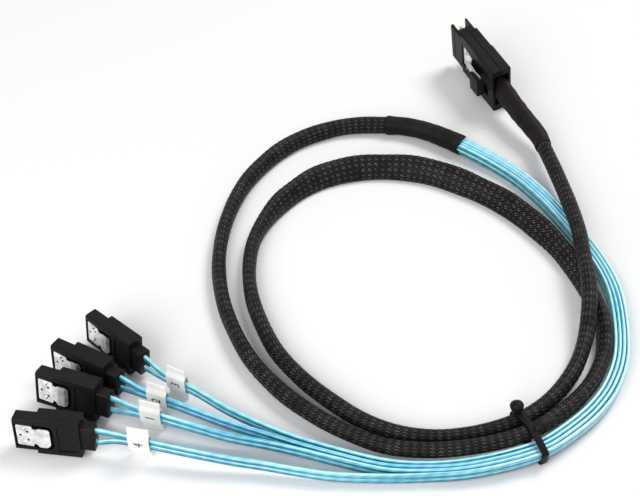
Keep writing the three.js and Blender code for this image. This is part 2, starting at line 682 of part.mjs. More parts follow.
// The part of a twin cable's route inside the bundle: its column is counted outwards from the
// middle of the bundle, and its row is -1 for the lower cable and 1 for the upper one.
function bundleRoute(column, row) {
  const path = new UprightPath(BUNDLE_ROUTE);
  return BUNDLE_ROUTE.map((point, i) => {
    const direction = path.getTangent(i / (BUNDLE_ROUTE.length - 1));
    const outwards = new THREE.Vector3(-direction.y, direction.x, 0).normalize();
    const place = new THREE.Vector3(...point).addScaledVector(outwards, column * COLUMN_PITCH);
    return [place.x, place.y, place.z + (row * ROW_PITCH) / 2];
  });
}

function twinRoute(place, plug, row) {
  const fan = FAN_ROUTES[place.number].map(([x, y, z]) => [x, y, z + (row * ROW_PITCH) / 2]);
  const beyond = pointOn(plug, smallEnd + STRAIGHT_AT_PLUG, reliefMiddle, (row * ROW_PITCH) / 2);
  const entry = pointOn(plug, smallEnd + 1, reliefMiddle, (row * PLUG_ROW_SPREAD) / 2);
  const end = pointOn(plug, smallEnd - SOCKET.depth + GAP, reliefMiddle, (row * PLUG_ROW_SPREAD) / 2);
  return [...bundleRoute(place.column, row), ...fan, beyond, entry, end];
}

function twinSection() {
  const a = TWIN.width / 2;
  const b = TWIN.height / 2;
  const c = TWIN.chamfer;
  return [[a, c - b], [a, b - c], [a - c, b], [c - a, b], [-a, b - c], [-a, c - b], [c - a, -b], [a - c, -b]];
}

function twinCable(place, plug, row) {
  const side = row < 0 ? 'lower' : 'upper';
  const geometry = tube(new UprightPath(twinRoute(place, plug, row)), twinSection(), TWIN_STEPS);
  return piece(`twin_cable_${place.number}_${side}`, geometry, 'blue');
}

// A paper strip wrapped round a pair of cables, with its two faces glued above and below them.
function label(place, plug) {
  const upper = new UprightPath(twinRoute(place, plug, 1));
  const lower = new UprightPath(twinRoute(place, plug, -1));
  const u = 1 - (LABEL.fromPlug + SOCKET.depth) / upper.getLength();
  const centre = upper.getPointAt(u).add(lower.getPointAt(u)).multiplyScalar(0.5);
  const direction = upper.getTangentAt(u).add(lower.getTangentAt(u)).setZ(0).normalize();
  const half = TWIN.width / 2 + LABEL.room;
  const wrap = LABEL.wrapHeight / 2;
  const top = LABEL.height / 2;
  const edge = LABEL.edge / 2;
  const outside = outline([
    [edge, -top], [edge, -wrap - 0.8], [half + LABEL.paper, -wrap + 0.6], [half + LABEL.paper, wrap - 0.6],
    [edge, wrap + 0.8], [edge, top], [-edge, top], [-edge, wrap + 0.8],
    [-half - LABEL.paper, wrap - 0.6], [-half - LABEL.paper, -wrap + 0.6], [-edge, -wrap - 0.8], [-edge, -top],
  ]);
  const inside = outline([
    [half, 0.9 - wrap], [half, wrap - 0.9], [0.3, wrap], [-0.3, wrap],
    [-half, wrap - 0.9], [-half, 0.9 - wrap], [-0.3, -wrap], [0.3, -wrap],
  ]);
  const paper = alongX(outside, middle(LABEL.length)).subtract(alongX(inside, middle(LABEL.length + 2)));
  const mesh = piece(`sata_${place.number}_label`, geometryOf(paper), 'paper');
  mesh.position.copy(centre);
  mesh.position.z = Math.max(centre.z, top + GAP);
  mesh.rotation.z = Math.atan2(direction.y, direction.x);
  return mesh;
}

// Tie

// A convex outline moved outwards by the same distance on every side.
function grown(points, distance) {
  const corner = (i) => new THREE.Vector2(...points[(i + points.length) % points.length]);
  return points.map((point, i) => {
    const before = corner(i).sub(corner(i - 1)).normalize();
    const after = corner(i + 1).sub(corner(i)).normalize();
    const outBefore = new THREE.Vector2(before.y, -before.x);
    const outAfter = new THREE.Vector2(after.y, -after.x);
    const bisector = outBefore.clone().add(outAfter).normalize();
    const moved = corner(i).addScaledVector(bisector, distance / bisector.dot(outBefore));
    return moved.toArray();
  });
}

// In the tie's frame X runs along the cables, Y points inwards across them and Z is up.
function tie() {
  const across = TIE_INSIDE.map(([out, high]) => [-out, high]).reverse();
  const loop = alongX(outline(grown(across, TIE.thickness)), middle(TIE.width))
    .subtract(alongX(outline(across), middle(TIE.width + 2)));
  const top = TIE_INSIDE[3][1] + TIE.thickness;
  const sink = TIE.thickness / 2;
  const knobGeometry = new THREE.SphereGeometry(TIE.knob, 12, 8);
  knobGeometry.translate(TIE.knobAlong, TIE.knobInwards, top + TIE.knob - sink);
  const neck = box([0, TIE.knobAlong], middle(TIE.neckWidth, TIE.knobInwards), [top - sink, top + sink * 2]);
  const tail = box(
    [-TIE.tailLength, 0], middle(TIE.width - 0.4, TIE.tailInwards), [top - sink, top - sink + TIE.tailThickness],
  );
  const mesh = piece('cable_tie', geometryOf(join(loop, neck, solid(knobGeometry), tail)), 'blackPlastic');
  mesh.position.set(TIE_AT.x, TIE_AT.y, 0);
  mesh.rotation.z = Math.atan2(TIE_HEADING[1], TIE_HEADING[0]);
  return mesh;
}

// Assembly

const cable = new THREE.Group();
const wide = widePlug(WIDE_PLUG);
cable.add(wide);
cable.add(piece('mini_sas_boot', boot(wide), 'shrink'));
cable.add(piece('braided_sleeve', sleeve(), 'sleeve'));
cable.add(piece('split_heat_shrink', splitShrink(), 'shrink'));
for (const place of [PLUG_1, PLUG_2, PLUG_3, PLUG_4]) {
  const plug = smallPlug(place);
  cable.add(plug);
  cable.add(twinCable(place, plug, -1), twinCable(place, plug, 1));
  cable.add(label(place, plug));
}
cable.add(tie());
cable.position.set(-TABLE_CENTRE.x, -TABLE_CENTRE.y, 0);

const part = new THREE.Group();
part.add(cable);
part.updateMatrixWorld(true);

export default part;
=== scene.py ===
"""Looks for a server breakout cable: braided sleeve, flat blue cables, latching plugs.

Lengths in this script are millimetres on the table's own layout, as in the CAD source;
table() turns them into metres in the part's frame.
"""

import math

import bpy
import numpy as np
from mathutils import Euler, Matrix, Vector


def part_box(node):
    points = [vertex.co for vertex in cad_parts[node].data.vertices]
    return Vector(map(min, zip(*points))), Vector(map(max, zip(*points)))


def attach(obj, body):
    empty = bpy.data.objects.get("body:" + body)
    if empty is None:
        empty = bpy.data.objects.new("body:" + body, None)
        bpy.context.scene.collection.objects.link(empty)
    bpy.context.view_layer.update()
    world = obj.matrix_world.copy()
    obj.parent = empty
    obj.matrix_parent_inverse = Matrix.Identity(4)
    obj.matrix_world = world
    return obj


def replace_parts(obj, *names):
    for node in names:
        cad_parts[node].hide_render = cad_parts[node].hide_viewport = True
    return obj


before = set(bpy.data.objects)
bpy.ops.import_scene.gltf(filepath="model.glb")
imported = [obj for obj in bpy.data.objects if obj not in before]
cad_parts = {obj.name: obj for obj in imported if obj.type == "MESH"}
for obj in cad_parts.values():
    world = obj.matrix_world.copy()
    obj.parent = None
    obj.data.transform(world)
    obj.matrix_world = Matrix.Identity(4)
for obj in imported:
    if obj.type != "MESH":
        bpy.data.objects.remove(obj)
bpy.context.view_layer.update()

MM = 0.001
TABLE_CENTRE = np.array([-1.99, 10.55, 0.0])
UP = np.array([0.0, 0.0, 1.0])

# Camera: the photograph is 640 x 496 pixels
PHOTO_WIDTH = 640
FOCAL_PIXELS = 1100
SENSOR_WIDTH = 36
CAMERA_PLACE = (0, -284.3, 299.6)
CAMERA_PITCH = 46.5


def table(points):
    """Points of the layout, in millimetres, as metres in the part's frame."""
    return (np.asarray(points, float) - TABLE_CENTRE) * MM


camera_data = bpy.data.cameras.new("camera")
camera_data.sensor_width = SENSOR_WIDTH
camera_data.lens = SENSOR_WIDTH * FOCAL_PIXELS / PHOTO_WIDTH
camera_data.clip_start = 0.01
camera = bpy.data.objects.new("camera", camera_data)
camera.location = table(CAMERA_PLACE)
camera.rotation_euler = (math.radians(90 - CAMERA_PITCH), 0, 0)
bpy.context.collection.objects.link(camera)
bpy.context.scene.camera = camera

# Routes of the flexible pieces, the same as in the CAD source

BOOT_ROUTE = [(82, 67.2, 10), (85.6, 60.8, 8.7), (88.6, 54.9, 7.7)]
SLEEVE_ROUTE = [
    (89.7, 49, 7.5), (92.5, 34, 7.2), (94.6, 16, 8.2), (95.5, 1, 9.4), (95, -13, 10.4),
    (94.8, -25, 10.4), (93.4, -36.5, 8.7), (90.7, -48, 6), (86.2, -58.5, 4.7), (80.4, -67.2, 4.6),
    (73.4, -74.6, 4.7), (65.5, -80, 4.7), (56.5, -83.6, 4.2), (47, -85.6, 3.5), (36, -86.3, 3.2),
    (25, -84.6, 3.2), (14, -80, 3.2), (3.4, -72.4, 3.2), (-6.5, -62.9, 3.2), (-14.5, -52.4, 3.2),
    (-20.3, -40, 3.2), (-24.3, -27, 3.2), (-25.8, -13.5, 3.2), (-24.6, 0, 3.2), (-20, 12.3, 3.2),
    (-12, 24, 3.3), (-1, 33.7, 3.6), (12, 39.2, 3.8), (27, 40.6, 4), (42.5, 38, 4),
    (58, 30.2, 3.7), (72, 19.4, 3.3), (83.5, 5, 3.2), (90.8, -8.4, 3.2), (95.8, -24, 3.2),
    (98.5, -39, 3.2), (96.6, -52, 3.4), (91.9, -62.8, 4.2), (85.3, -71.6, 5.2), (77.3, -79.2, 6),
    (68.2, -85.4, 6.3), (58, -89.4, 6), (46, -91.6, 5.4), (33, -92.2, 4.8), (20, -90, 4),
    (7.5, -84, 3.4), (-5, -75.6, 3.2), (-15, -66.4, 3.2), (-23.5, -55.3, 3.2), (-30.3, -41.5, 3.2),
    (-35, -26.5, 3.2), (-37.1, -9.5, 3.2), (-35.8, 9, 3.2), (-30.6, 28.6, 3.2), (-21.5, 44.6, 3.2),
    (-9.5, 57, 3.2), (4.5, 64.4, 3.3), (15.5, 66.8, 3.5), (27, 66.8, 3.7),
]
SHRINK_ROUTE = [
    (27.4, 66.8, 3.7), (35.5, 65.6, 3.9), (43.5, 62.6, 4.1), (51, 58.2, 4.15), (57.6, 53.6, 4.15),
]
BUNDLE_ROUTE = [
    (55.2, 55.3, 4.15), (62, 50.5, 3.6), (70, 44.6, 2.8), (78.6, 36.2, 2.4), (86.3, 25, 2.4),
    (92.5, 13.4, 2.4), (98.2, 1, 2.4), (103, -12, 2.4), (105.3, -24, 2.4), (105, -38, 2.4),
    (102.4, -53.5, 2.4), (97, -66, 2.7), (89.6, -76, 3.4), (80.8, -84, 3.8), (70.9, -90.8, 3.9),
    (60, -95, 3.8), (46, -97.8, 3), (33, -98.5, 2.4),
]
FAN_ROUTES = {
    1: [
        (20, -98.6, 2.4), (5, -95, 2.8), (-6.7, -91.9, 3.3), (-18, -89.4, 4),
        (-29.4, -87.4, 5), (-41, -84.4, 6.2),
    ],
    2: [
        (20, -97, 2.4), (5, -93.2, 2.8), (-6.7, -89.8, 3.3), (-18, -86.2, 4),
        (-29.6, -82.6, 5), (-41.5, -78.2, 6.2),
    ],
    3: [
        (20, -95.2, 2.4), (5, -91.3, 2.8), (-6.7, -87.6, 3.3), (-18, -83, 4),
        (-30, -77.2, 5), (-41, -70.6, 6.4),
    ],
    4: [
        (20, -101, 2.4), (4.4, -100.6, 2.8), (-6.6, -99.2, 3.3), (-17.7, -97.4, 4),
        (-28.9, -96, 5), (-40.2, -94.2, 6.2),
    ],
}

# Plugs: the middle of the nose, the heading and the lean in degrees, and the column of the bundle
# that the cables keep to, counted outwards from its middle. The wide plug's nose is raised too.
PLUGS = {
    1: {"nose": (-91.8, -68.5, 7.77), "heading": -18.9, "lean": 15, "column": 0.5},
    2: {"nose": (-88.3, -56.6, 7.61), "heading": -27.1, "lean": 8, "column": -0.5},
    3: {"nose": (-78.4, -43.7, 7.61), "heading": -39.2, "lean": 8, "column": -1.5},
    4: {"nose": (-96.1, -86.2, 7.71), "heading": -6.8, "lean": 12, "column": 1.5},
}
WIDE_PLUG = {"nose": (61.1, 113.2, 14.3), "heading": -65.7, "lean": -11, "nose_up": 4}
WIDE_LENGTH = 36.2
SMALL_LENGTH = 25.7

# A small plug's strain relief: how far it is off the plug's middle, and its two cable sockets
RELIEF_MIDDLE = 0.275
SOCKET_DEPTH = 2.6
GAP = 0.3
PLUG_ROW_SPREAD = 4.6
STRAIGHT_AT_PLUG = 9

# The bundle of blue cables: four columns side by side, in two rows
COLUMN_PITCH = 1.45
ROW_PITCH = 2.4

# Curves and lofts
SPAN_STEPS = 24


def smooth_route(points):
    """A uniform Catmull-Rom curve through the points, as the CAD draws its routes."""
    p = np.array(points, float)
    p = np.vstack([2 * p[0] - p[1], p, 2 * p[-1] - p[-2]])
    t = np.linspace(0, 1, SPAN_STEPS, endpoint=False)[:, None]
    spans = []
    for a, b, c, d in zip(p, p[1:], p[2:], p[3:]):
        cubic = (3 * b - a - 3 * c + d) * t**3 + (2 * a - 5 * b + 4 * c - d) * t**2
        spans.append(0.5 * (2 * b + (c - a) * t + cubic))
    return np.vstack([*spans, p[-2][None]])


def distances(points):
    return np.concatenate([[0], np.cumsum(np.linalg.norm(np.diff(points, axis=0), axis=1))])


def evenly(points, step):
    """The route's points a step apart, and their distances from its start."""
    along = distances(points)
    count = max(3, round(along[-1] / step) + 1)
    places = np.linspace(0, along[-1], count)
    return np.column_stack([np.interp(places, along, points[:, k]) for k in range(3)]), places


def unit(rows):
    return rows / np.linalg.norm(rows, axis=-1, keepdims=True)


def upright_frames(points):
    """Directions along, sideways and upwards at each point: sideways is outwards on a coil."""
    along = unit(np.gradient(points, axis=0))
    side = unit(np.cross(UP, along))
    return along, side, np.cross(along, side)


def make_mesh(name, vertices, faces, smooth=True):
    mesh = bpy.data.meshes.new(name)
    mesh.from_pydata(table(vertices).tolist(), [], faces)
    mesh.polygons.foreach_set("use_smooth", [smooth] * len(mesh.polygons))
    mesh.update()
    piece = bpy.data.objects.new(name, mesh)
    bpy.context.collection.objects.link(piece)
    return piece


def rings_round(centres, reach, way, other_reach, other_way):
    """Rings of points round a centreline, from how far they reach along two directions."""
    across = reach[..., None] * way[:, None]
    return centres[:, None] + across + other_reach[..., None] * other_way[:, None]


def swollen(wave, power):
    """A sine or cosine swollen towards a square wave, for sections with rounded corners."""
    return np.sign(wave) * np.abs(wave) ** power


def loft(name, rings, places):
    """A closed tube through rings of points, with UVs: millimetres along, and turns round."""
    count, sides, _ = rings.shape
    ring = np.arange(count - 1)[:, None] * sides
    here = np.arange(sides)[None, :]
    after = (here + 1) % sides
    quads = np.stack([ring + here, ring + after, ring + after + sides, ring + here + sides], -1)
    faces = quads.reshape(-1, 4).tolist()
    faces.append(list(range(sides))[::-1])
    faces.append([(count - 1) * sides + i for i in range(sides)])
    piece = make_mesh(name, rings.reshape(-1, 3), faces)
    ends = np.stack([places[:-1], places[:-1], places[1:], places[1:]], -1)
    turns = np.stack([here, here + 1, here + 1, here], -1) / sides
    u, v = (np.broadcast_to(part, quads.shape) for part in (ends[:, None], turns))
    values = np.stack([u, v], -1).reshape(-1, 2)
    layer = piece.data.uv_layers.new(name="along")
    flat = np.zeros((len(piece.data.loops), 2))
    flat[: len(values)] = values
    layer.data.foreach_set("uv", flat.ravel())
    return piece


def plug_matrix(plug):
    """From a plug's own axes to the layout: x runs from its nose to its cable, z is its width."""
    degrees = (-plug["lean"], plug.get("nose_up", 0), plug["heading"])
    turn = Euler([math.radians(angle) for angle in degrees], "XYZ")
    return Matrix.Translation(Vector(plug["nose"])) @ turn.to_matrix().to_4x4()


def on_plug(plug, point):
    return tuple(plug_matrix(plug) @ Vector(point))


# Materials


def material(name, color, roughness, **sockets):
    look = bpy.data.materials.new(name)
    look.use_nodes = True
    shader = look.node_tree.nodes["Principled BSDF"]
    shader.inputs["Base Color"].default_value = (*color, 1)
    shader.inputs["Roughness"].default_value = roughness
    for socket, value in sockets.items():
        shader.inputs[socket.replace("_", " ")].default_value = value
    return look


def add_node(look, kind, inputs=None, **settings):
    node = look.node_tree.nodes.new("ShaderNode" + kind)
    for key, value in settings.items():
        setattr(node, key, value)
    for key, value in (inputs or {}).items():
        if isinstance(value, bpy.types.NodeSocket):
            look.node_tree.links.new(value, node.inputs[key])
        else:
            node.inputs[key].default_value = value
    return node


def feed(look, socket, value):
    shader = look.node_tree.nodes["Principled BSDF"]
    look.node_tree.links.new(value, shader.inputs[socket])


def noise(look, scale, detail=3, stretch=(1, 1, 1)):
    place = add_node(look, "TexCoord").outputs["Object"]
    mapped = add_node(look, "Mapping", {"Vector": place, "Scale": stretch})
    inputs = {"Vector": mapped.outputs[0], "Scale": scale, "Detail": detail}
    return add_node(look, "TexNoise", inputs).outputs["Fac"]


def ramp(look, factor, *stops):
    """Colours at places of a factor from 0 to 1."""
    node = add_node(look, "ValToRGB", {"Fac": factor})
    elements = node.color_ramp.elements
    while len(elements) < len(stops):
        elements.new(0.5)
    for element, (place, color) in zip(elements, stops):
        element.position = place
        element.color = (*color, 1)
    return node.outputs["Color"]


def spread(look, factor, low, high):
    return add_node(look, "MapRange", {"Value": factor, "To Min": low, "To Max": high}).outputs["Result"]


def vary_color(look, factor, *stops):
    feed(look, "Base Color", ramp(look, factor, *stops))


def vary_roughness(look, factor, low, high):
    feed(look, "Roughness", spread(look, factor, low, high))


def bump(look, height, strength, depth):
    """Fine relief. Its depth is in metres."""
    node = add_node(look, "Bump", {"Height": height, "Strength": strength, "Distance": depth})
    feed(look, "Normal", node.outputs["Normal"])


def calc(look, operation, a, b=None):
    inputs = {0: a} if b is None else {0: a, 1: b}
    return add_node(look, "Math", inputs, operation=operation).outputs[0]


def moulded_plastic():
    look = material("moulded_black", (0.006, 0.0055, 0.006), 0.44, Specular_IOR_Level=0.12)
    deep, pale = (0.0045, 0.0045, 0.005), (0.011, 0.009, 0.0085)
    vary_color(look, noise(look, 90), (0.35, deep), (0.7, pale))
    vary_roughness(look, noise(look, 500, 5), 0.36, 0.54)
    bump(look, noise(look, 5000, 2), 0.25, 0.00006)
    return look


def stamped_steel():
    look = material("latch_steel", (0.9, 0.89, 0.88), 0.34, Metallic=0.9)
    brushed = noise(look, 900, 4, (1, 1, 0.06))
    dull, bright = (0.58, 0.57, 0.57), (0.95, 0.94, 0.93)
    vary_color(look, noise(look, 420, 5), (0.32, dull), (0.62, bright))
    vary_roughness(look, brushed, 0.24, 0.46)
    bump(look, brushed, 0.3, 0.00004)
    return look


def gold():
    look = material("contact_gold", (0.86, 0.62, 0.25), 0.28, Metallic=1.0)
    vary_roughness(look, noise(look, 1500, 4), 0.2, 0.4)
    bump(look, noise(look, 2500, 2), 0.15, 0.00003)
    return look


def circuit_board():
    """Teal on the card's two broad faces, and the pale glass fibre of its cut edges."""
    look = material("circuit_board", (0.05, 0.30, 0.25), 0.4)
    teal = ramp(look, noise(look, 700, 4), (0.4, (0.03, 0.27, 0.24)), (0.65, (0.12, 0.52, 0.46)))
    fibre = ramp(look, noise(look, 900, 4), (0.35, (0.62, 0.56, 0.24)), (0.7, (0.86, 0.82, 0.48)))
    faces = {
        0: add_node(look, "NewGeometry").outputs["Normal"],
        1: plug_matrix(WIDE_PLUG).to_3x3().col[1],
    }
    facing = add_node(look, "VectorMath", faces, operation="DOT_PRODUCT").outputs["Value"]
    broad = calc(look, "GREATER_THAN", calc(look, "ABSOLUTE", facing), 0.5)
    mix = add_node(look, "Mix", data_type="RGBA")
    for socket, value in (("Factor", broad), ("A", fibre), ("B", teal)):
        chosen = next(s for s in mix.inputs if s.name == socket and s.enabled)
        look.node_tree.links.new(value, chosen)
    feed(look, "Base Color", next(s for s in mix.outputs if s.enabled))
    bump(look, noise(look, 3000, 3), 0.2, 0.00004)
    return look


def resin():
    look = material("clamp_resin", (0.25, 0.24, 0.21), 0.6)
    vary_color(look, noise(look, 400, 4), (0.3, (0.18, 0.17, 0.15)), (0.7, (0.34, 0.32, 0.28)))
    bump(look, noise(look, 900, 4), 0.4, 0.0002)
    return look


def shrink_tube():
    look = material("shrink_black", (0.008, 0.007, 0.008), 0.55, Specular_IOR_Level=0.1)
    deep, pale = (0.006, 0.0055, 0.006), (0.018, 0.0135, 0.013)
    vary_color(look, noise(look, 120, 4), (0.3, deep), (0.75, pale))
    vary_roughness(look, noise(look, 300, 4), 0.42, 0.62)
    bump(look, noise(look, 450, 5), 0.5, 0.00025)
    return look


def along_and_turn(look):
    """The two numbers of a loft's UV layer: millimetres along it, and turns round it."""
    uv = add_node(look, "UVMap", uv_map="along").outputs["UV"]
    return add_node(look, "SeparateXYZ", {"Vector": uv}).outputs[:2]


# Yarn bundles round the sleeve, and the length over which each of them moves on by one
BRAID_CARRIERS = 14
BRAID_PITCH = 2.7


def braid():
    """Two families of yarns that cross one over one. Where each lies on top, its crest is painted pale as a
    painted glint, a painted highlight.
    """
    look = material("braid_black", (0.006, 0.006, 0.007), 0.36, Specular_IOR_Level=0.08)
    along, turn = along_and_turn(look)
    round_turns = calc(look, "MULTIPLY", turn, float(BRAID_CARRIERS))
    along_turns = calc(look, "DIVIDE", along, BRAID_PITCH)
    carriers = [
        calc(look, "MULTIPLY", calc(look, operation, round_turns, along_turns), math.pi)
        for operation in ("ADD", "SUBTRACT")
    ]
    on_top = calc(look, "MULTIPLY", *[calc(look, "SINE", carrier) for carrier in carriers])
    # Painted highlights: a pale glint on the crest of each yarn where it lies on top. The second family's
    # painted glints are weaker, as less light falls on them.
    painted_glints = []
    for carrier, over, strength in ((carriers[0], 1.0, 1.0), (carriers[1], -1.0, 0.6)):
        filaments = calc(look, "SINE", calc(look, "MULTIPLY", carrier, 2.0))
        crest = calc(look, "POWER", calc(look, "ABSOLUTE", filaments), 2.5)
        shown = calc(look, "MAXIMUM", calc(look, "MULTIPLY", on_top, over), 0.0)
        shown = calc(look, "POWER", shown, 0.45)
        painted_glints.append(calc(look, "MULTIPLY", calc(look, "MULTIPLY", crest, shown), strength))
    uneven = spread(look, noise(look, 260, 4), 0.25, 1.6)
    painted_glint = calc(look, "MULTIPLY", calc(look, "MAXIMUM", *painted_glints), uneven)
    # Black between the crests, up to the pale grey of the painted glints.
    deep, middle, pale = (0.0035, 0.0035, 0.004), (0.028, 0.026, 0.0255), (0.17, 0.16, 0.158)
    vary_color(look, painted_glint, (0.12, deep), (0.45, middle), (0.9, pale))
    vary_roughness(look, noise(look, 700, 3), 0.28, 0.5)
    # The crest pattern of the painted glints also gives the yarns' relief.
    bump(look, calc(look, "MAXIMUM", *painted_glints), 0.6, 0.00008)
    return look


def cable_jacket(number, deep, middle, pale):
    """Foil-like blue with painted light: long streaks painted as pale highlight lines with deep lines
    between, palest on its upper edge as a painted highlight, deepest at its foot as painted shade.
    """
    sheen = {"Metallic": 0.22, "Coat_Weight": 0.12, "Coat_Roughness": 0.15}
    look = material(f"cable_blue_{number}", middle, 0.32, **sheen)
    along, turn = along_and_turn(look)
    angle = calc(look, "MULTIPLY", turn, 2 * math.pi)
    # Long streaks along each cable: painted highlight lines, pale, with deep lines between them.
    stretched = calc(look, "MULTIPLY", along, 0.0015)
    lines = add_node(look, "CombineXYZ", {0: stretched, 1: turn, 2: float(number)}).outputs[0]
    inputs = {"Vector": lines, "Scale": 16.0, "Detail": 3.0}
    painted_highlight_streaks = add_node(look, "TexNoise", inputs).outputs["Fac"]
    # Painted light: the upper side is painted paler as a painted highlight, the foot darker as painted
    # shade.
    height = calc(look, "SINE", angle)
    wrap = calc(look, "SINE", calc(look, "ADD", calc(look, "MULTIPLY", along, 1.3), angle))
    tone = calc(look, "ADD", calc(look, "MULTIPLY", height, 0.2), painted_highlight_streaks)
    tone = calc(look, "ADD", tone, calc(look, "MULTIPLY", wrap, 0.025))
    tone = calc(look, "ADD", tone, spread(look, noise(look, 14, 1), -0.22, 0.1))
    vary_color(look, tone, (0.36, deep), (0.5, middle), (0.68, pale))
    vary_roughness(look, painted_highlight_streaks, 0.26, 0.42)
    bump(look, wrap, 0.12, 0.00004)
    return look


def paper():
    look = material("label_paper", (0.88, 0.88, 0.86), 0.75)
    vary_color(look, noise(look, 150, 4), (0.3, (0.84, 0.84, 0.82)), (0.7, (0.93, 0.93, 0.91)))
    bump(look, noise(look, 1800, 4), 0.15, 0.00005)
    return look


def ink():
    look = material("label_ink", (0.015, 0.015, 0.016), 0.6)
    vary_color(look, noise(look, 2500), (0.3, (0.010, 0.010, 0.011)), (0.8, (0.05, 0.05, 0.055)))
    return look


PLASTIC = moulded_plastic()
STEEL = stamped_steel()
GOLD = gold()
BOARD = circuit_board()
RESIN = resin()
SHRINK = shrink_tube()
BRAID = braid()
PAPER = paper()
INK = ink()
# Each blue's deep, middle and pale tones. The pale tone is the painted highlight, and the deep tone is the
# painted shade.
JACKETS = {
    1: cable_jacket(1, (0.01, 0.17, 0.27), (0.08, 0.50, 0.71), (0.46, 0.86, 0.95)),
    2: cable_jacket(2, (0.01, 0.15, 0.27), (0.06, 0.44, 0.70), (0.38, 0.80, 0.95)),
    3: cable_jacket(3, (0.01, 0.18, 0.25), (0.09, 0.52, 0.67), (0.48, 0.86, 0.92)),
    4: cable_jacket(4, (0.02, 0.20, 0.30), (0.14, 0.56, 0.74), (0.55, 0.90, 0.97)),
}


def dress(piece, look):
    piece.data.materials.clear()
    piece.data.materials.append(look)
    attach(piece, "root")
    return piece


# Braided sleeve. Its oval section changes along the route: it is widest and leans outwards at the
# far side of the inner turn. Each row: number of the route point, long axis, short axis, and lean
# from upright in degrees.
SLEEVE_SECTIONS = [
    (0, 6.6, 5.6, 0), (4, 6.2, 5.3, 0), (9, 6.2, 5.2, 0), (11, 5.4, 4.8, 0), (15, 5.2, 4.8, 0),
    (17, 6.6, 5.2, 0), (20, 6.8, 5.2, 0), (22, 6.6, 4.9, 3), (23, 7.0, 4.8, 8), (25, 9.0, 4.5, 30),
    (27, 10.2, 4.3, 44), (29, 10.3, 4.3, 44), (31, 9.8, 4.5, 42), (33, 8.4, 4.8, 34), (35, 7.2, 5.0, 18),
    (38, 6.2, 5.0, 0), (40, 5.3, 4.8, 0), (44, 5.3, 4.8, 0), (47, 6.8, 5.2, 0), (51, 6.6, 5.0, 0),
    (54, 6.9, 4.9, 25), (56, 6.8, 5.0, 35), (58, 6.8, 5.2, 35),
]
# How far each end of the braid runs on inside its shrink tube
TUCKED_IN = 1.5
BRAID_SIDES = 56
BRAID_STEP = 0.52
# A yarn bundle's own height, how far it waves over and under, and how square its crown is
YARN_HEIGHT = 0.26
YARN_WAVE = 0.13
YARN_SQUARENESS = 0.92
SLEEVE_FLOOR_GAP = 0.02


def crown(bundles):
    """The rounded height of each bundle, from its edge to its middle."""
    return np.sqrt(1 - YARN_SQUARENESS * (2 * (bundles % 1) - 1) ** 2)


def by_turns(bundles):
    """1 and -1, changing from each bundle to the next."""
    return 1 - 2 * (np.floor(bundles) % 2)


def braid_relief(along, turn):
    """Height of two sets of crossing yarn bundles, one over one."""
    a = BRAID_CARRIERS * turn + along / BRAID_PITCH
    b = BRAID_CARRIERS * turn - along / BRAID_PITCH
    first = YARN_WAVE * by_turns(a) * np.sin(np.pi * b) + YARN_HEIGHT * crown(a)
    second = -YARN_WAVE * by_turns(b) * np.sin(np.pi * a) + YARN_HEIGHT * crown(b)
    return np.maximum(first, second)


def sleeve_sizes(places, knots):
    """Long axis, short axis and lean at each place, eased from row to row of the sections."""
    rows = np.array(SLEEVE_SECTIONS, float)
    at = np.interp(places, knots, np.arange(len(knots)))
    ease = np.interp(at, rows[:, 0], np.arange(len(rows)))
    whole = np.floor(ease).clip(0, len(rows) - 2).astype(int)
    part = ease - whole
    part = (part * part * (3 - 2 * part))[:, None]
    return (rows[whole, 1:] * (1 - part) + rows[whole + 1, 1:] * part).T


def sleeve():
    route = smooth_route(SLEEVE_ROUTE)
    start, end = unit(route[0] - route[1]), unit(route[-1] - route[-2])
    knots = distances(route)[::SPAN_STEPS] + TUCKED_IN
    route = np.vstack([route[0] + start * TUCKED_IN, route, route[-1] + end * TUCKED_IN])
    centres, places = evenly(route, BRAID_STEP)
    long_axis, short_axis, lean = sleeve_sizes(places, knots)
    lean = np.radians(lean)
    # The sleeve is a little fuller here and a little slimmer there.
    lumps = 1 + 0.018 * np.sin(places * 0.31) + 0.014 * np.sin(places * 0.117 + 1)
    long_half = long_axis / 2 * lumps - YARN_HEIGHT
    short_half = short_axis / 2 / lumps - YARN_HEIGHT
    # Where the yarns would dip into the table, the centre is lifted.
    yarn = YARN_HEIGHT + YARN_WAVE
    reach_down = np.hypot((long_half + yarn) * np.cos(lean), (short_half + yarn) * np.sin(lean))
    centres[:, 2] = np.maximum(centres[:, 2], reach_down + SLEEVE_FLOOR_GAP)
    _, side, rise = upright_frames(centres)
    long_way = rise * np.cos(lean)[:, None] + side * np.sin(lean)[:, None]
    short_way = side * np.cos(lean)[:, None] - rise * np.sin(lean)[:, None]
    turn = np.arange(BRAID_SIDES) / BRAID_SIDES
    angle = 2 * np.pi * turn
    relief = braid_relief(places[:, None], turn[None, :])
    reach_short = (short_half[:, None] + relief) * np.cos(angle)
    reach_long = (long_half[:, None] + relief) * np.sin(angle)
    rings = rings_round(centres, reach_short, short_way, reach_long, long_way)
    piece = dress(loft("sleeve_braid", rings, places), BRAID)
    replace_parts(piece, "braided_sleeve")
    return rings


sleeve_rings = sleeve()

# Flat twin cables
TWIN_WIDTH = 1.36
TWIN_HEIGHT = 2.34
TWIN_SIDES = 20
TWIN_STEP = 1.0
TWIN_SQUARENESS = 0.6
WAIST_DEPTH = 0.16
WAIST_HEIGHT = 0.42


def twin_section():
    """A flat oval with a slight waist, where the two wires inside lie one above the other."""
    turn = 2 * np.pi * np.arange(TWIN_SIDES) / TWIN_SIDES
    across = TWIN_WIDTH / 2 * swollen(np.cos(turn), TWIN_SQUARENESS)
    high = TWIN_HEIGHT / 2 * np.sin(turn)
    waist = 1 - WAIST_DEPTH * np.exp(-((high / WAIST_HEIGHT) ** 2))
    return across * waist, high


